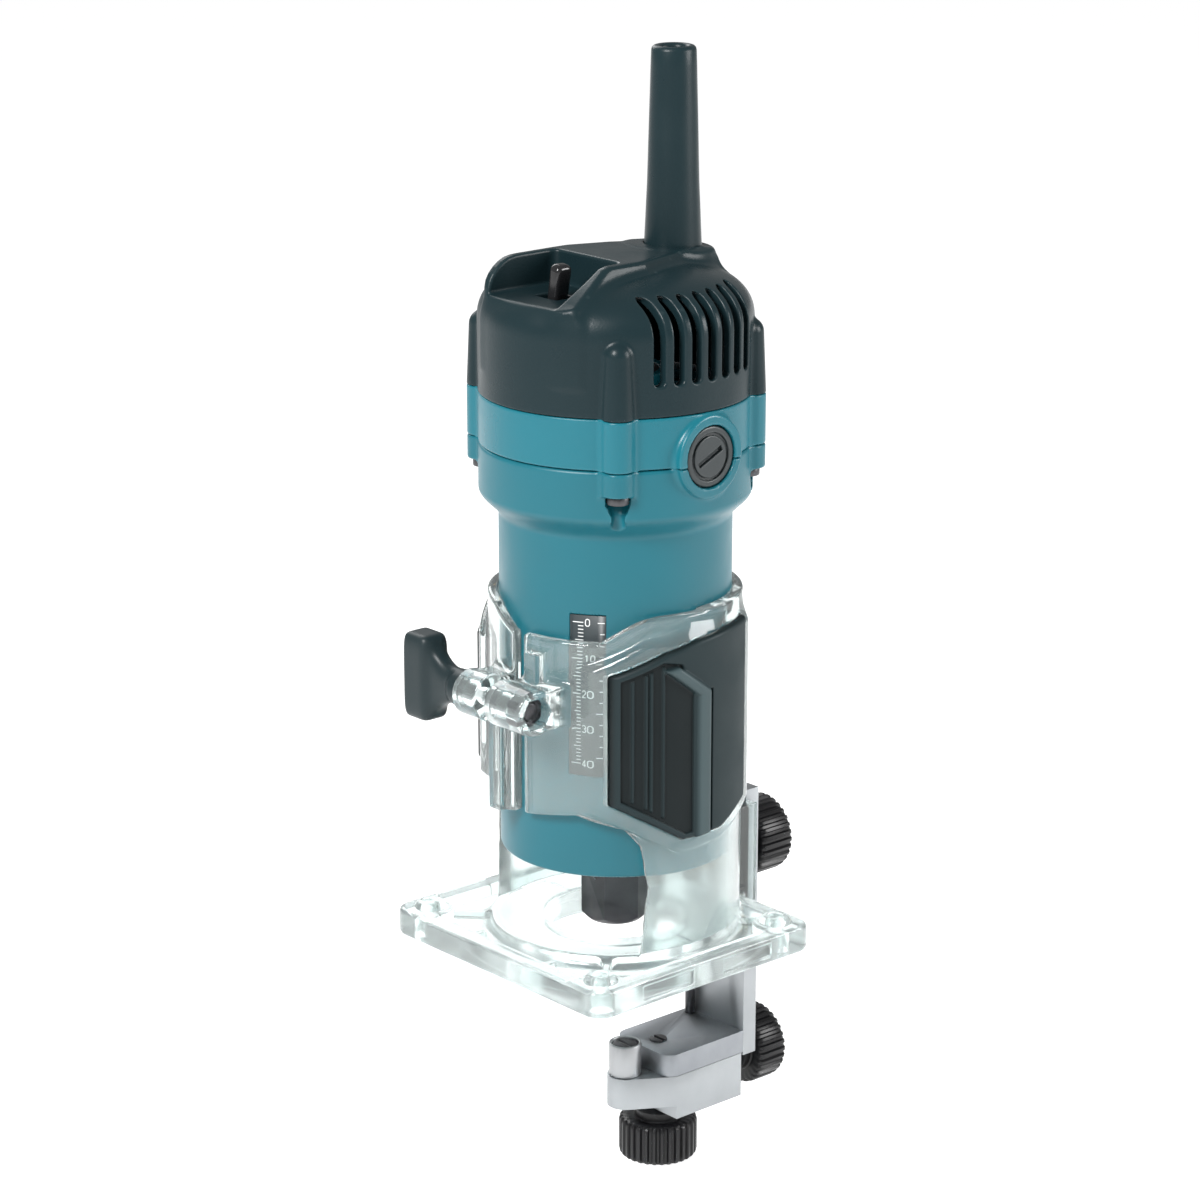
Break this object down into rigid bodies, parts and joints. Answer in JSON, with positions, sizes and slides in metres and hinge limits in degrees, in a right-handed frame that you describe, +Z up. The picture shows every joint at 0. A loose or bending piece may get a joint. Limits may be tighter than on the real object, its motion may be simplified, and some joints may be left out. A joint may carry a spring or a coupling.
{
  "type": "trim router",
  "caption": "Trim router: a barrel motor with a collet, clamped in a clear base with rubber grips, and a roller guide on a slotted bracket behind it.",
  "frame": {"origin": "on the spindle axis, in the plane of the base's underside", "axes": "+Z up along the spindle to the cord guard, -Y to the front where the clamp is, +Y to the guide, +X to the right seen from the front"},
  "size_m": [0.09, 0.1102, 0.3264],
  "materials": {
    "clear_plastic": "clear moulded polycarbonate, polished",
    "grip_rubber": "fine-textured moulded rubber",
    "wing_plastic": "satin moulded plastic",
    "knob_plastic": "knurled black plastic",
    "zinc_steel": "zinc-plated steel",
    "dark_steel": "blackened steel",
    "brass": "turned brass",
    "bright_aluminium": "die-cast and tumbled, satin",
    "grey_aluminium": "die-cast, satin grey",
    "teal_plastic": "glass-filled nylon, semi-gloss teal",
    "cover_plastic": "glass-filled nylon, satin charcoal",
    "scale_label": "printed metal-grey scale strip",
    "bearing_steel": "ground bearing steel",
    "boot_rubber": "moulded rubber",
    "lamination": "stacked electrical steel",
    "copper": "enamelled copper",
    "carbon": "pressed carbon",
    "fan_plastic": "moulded nylon"
  },
  "bodies": {
    "base": {"clear_base": "clear_plastic", "grip_pad_right": "grip_rubber", "grip_pad_left": "grip_rubber", "clamp_nut": "zinc_steel", "bracket_nut": "brass"},
    "clamp_wing": {"wing_grip": "wing_plastic", "wing_stud": "zinc_steel"},
    "bracket_clamp": {"bracket_knob": "knob_plastic", "bracket_stud": "zinc_steel"},
    "guide": {"guide_bracket": "bright_aluminium", "guide_foot": "grey_aluminium", "guide_pin": "dark_steel", "foot_screws": "zinc_steel"},
    "adjuster": {"adjust_knob": "knob_plastic", "adjust_screw": "zinc_steel"},
    "carriage": {"guide_carriage": "bright_aluminium", "roller_screw": "dark_steel"},
    "roller": {"guide_roller": "zinc_steel"},
    "lock": {"lock_knob": "knob_plastic", "lock_screw": "dark_steel"},
    "motor": {"barrel_housing": "teal_plastic", "housing_ring": "teal_plastic", "top_cover": "cover_plastic", "housing_screws": "dark_steel", "scale_plate": "scale_label", "brush_caps": "wing_plastic", "brush_holders": "brass", "carbon_brushes": "carbon", "brush_springs": "zinc_steel", "field_core": "lamination", "field_coils": "copper", "baffle_plate": "fan_plastic", "bearing_retainer": "zinc_steel", "lower_bearing_outer": "bearing_steel", "lower_bearing_balls": "bearing_steel", "upper_bearing_outer": "bearing_steel", "bearing_boot": "boot_rubber", "switch_body": "knob_plastic", "switch_pin": "zinc_steel", "cord_guard": "cover_plastic"},
    "switch": {"switch_lever": "wing_plastic"},
    "spindle": {"motor_shaft": "bearing_steel", "lower_bearing_inner": "bearing_steel", "upper_bearing_inner": "bearing_steel", "cooling_fan": "fan_plastic", "armature_core": "lamination", "armature_windings": "copper", "commutator": "copper", "collet_cone": "dark_steel"},
    "collet_nut": {"collet_nut": "dark_steel"}
  },
  "joints": [
    {"name": "depth_slide", "type": "slide", "parent": "base", "child": "motor", "axis": [0, 0, 1], "range_m": [-0.005, 0.035]},
    {"name": "clamp_turn", "type": "hinge", "parent": "base", "child": "clamp_wing", "pos_m": [0, -0.04328, 0.0805], "axis": [-1, 0, 0], "range_deg": [0, 360]},
    {"name": "bracket_clamp_turn", "type": "hinge", "parent": "base", "child": "bracket_clamp", "pos_m": [0, 0.05, 0.018], "axis": [0, 1, 0], "range_deg": [0, 360]},
    {"name": "guide_height", "type": "slide", "parent": "base", "child": "guide", "axis": [0, 0, 1], "range_m": [-0.01, 0.02]},
    {"name": "adjust_turn", "type": "hinge", "parent": "guide", "child": "adjuster", "pos_m": [0, 0.05, -0.0482], "axis": [0, 1, 0], "range_deg": [0, 4320]},
    {"name": "carriage_slide", "type": "slide", "parent": "guide", "child": "carriage", "axis": [0, -1, 0], "range_m": [0, 0.012]},
    {"name": "roller_spin", "type": "hinge", "parent": "carriage", "child": "roller", "pos_m": [0, 0.004, -0.039], "axis": [0, 0, 1], "continuous": true},
    {"name": "lock_turn", "type": "hinge", "parent": "guide", "child": "lock", "pos_m": [0, 0.01705, -0.065], "axis": [0, 0, -1], "range_deg": [0, 360]},
    {"name": "switch_toggle", "type": "hinge", "parent": "motor", "child": "switch", "pos_m": [0, -0.022, 0.1826], "axis": [0, -1, 0], "range_deg": [0, 20]},
    {"name": "spindle_spin", "type": "hinge", "parent": "motor", "child": "spindle", "pos_m": [0, 0, 0.1], "axis": [0, 0, 1], "continuous": true},
    {"name": "collet_nut_turn", "type": "hinge", "parent": "spindle", "child": "collet_nut", "pos_m": [0, 0, 0.016], "axis": [0, 0, 1], "range_deg": [0, 360]}
  ],
  "couplings": [
    {"joint": "adjust_turn", "follows": "carriage_slide", "rad_per_m": 6283.2}
  ]
}
